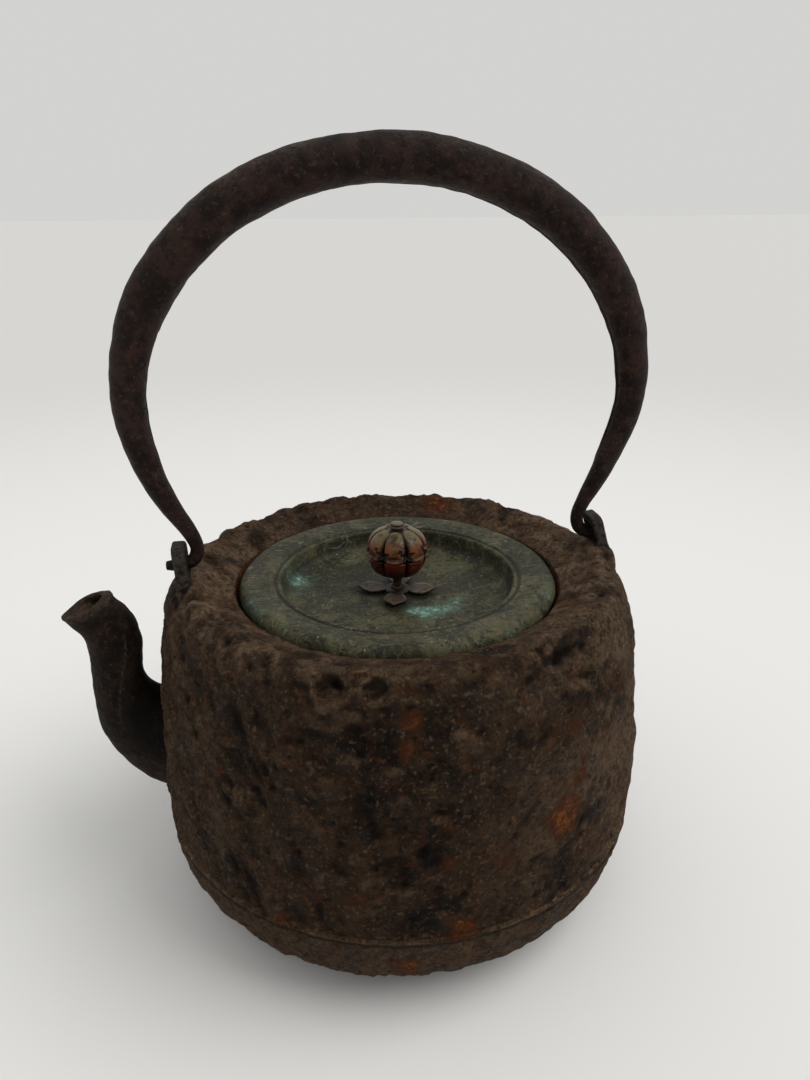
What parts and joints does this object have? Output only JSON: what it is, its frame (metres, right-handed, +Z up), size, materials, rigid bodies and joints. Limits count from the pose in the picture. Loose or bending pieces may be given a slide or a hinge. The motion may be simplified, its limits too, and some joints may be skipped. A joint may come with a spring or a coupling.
{
  "type": "cast iron kettle",
  "caption": "Round cast iron kettle with a curved spout, a swinging arched bail handle and a lift-off bronze lid with a melon-shaped knob.",
  "frame": {"origin": "centre of the pot's flat base, on the surface that the kettle stands on", "axes": "+Z up along the pot's axis, X along the handle's hinge axis with the spout on the -X side, Y across the handle's swing"},
  "size_m": [0.1916, 0.164, 0.2434],
  "materials": {
    "pot_iron": "rough cast rock-like texture, dark brown with rust bloom",
    "spout_iron": "smooth cast, dark brown-black, dull",
    "lug_iron": "smooth cast, dark, worn edges",
    "handle_iron": "forged sheet, dark brown-black, soft sheen",
    "lid_bronze": "grey-green patina with verdigris spots",
    "seat_bronze": "tarnished, dark edges",
    "rivet_copper": "tarnished copper",
    "knob_copper": "polished by handling, olive tarnish",
    "knob_red_copper": "dark red copper oxide"
  },
  "bodies": {
    "pot": {"kettle_body": "pot_iron", "spout": "spout_iron", "lug_spout_side": "lug_iron", "lug_far_side": "lug_iron"},
    "bail": {"handle": "handle_iron"},
    "lid": {"lid": "lid_bronze", "petal_seat": "seat_bronze", "knob_rivet": "rivet_copper", "rivet_washer": "seat_bronze", "knob_washer": "seat_bronze"},
    "knob": {"knob_upper_shell": "knob_copper", "knob_lower_shell": "knob_red_copper"}
  },
  "joints": [
    {"name": "handle_swing", "type": "hinge", "parent": "pot", "child": "bail", "pos_m": [0, 0, 0.119], "axis": [1, 0, 0], "range_deg": [-94, 99]},
    {"name": "lid_lift", "type": "slide", "parent": "pot", "child": "lid", "axis": [0, 0, 1], "range_m": [0, 0.06]},
    {"name": "knob_spin", "type": "hinge", "parent": "lid", "child": "knob", "pos_m": [0, 0, 0.1175], "axis": [0, 0, 1], "continuous": true}
  ]
}
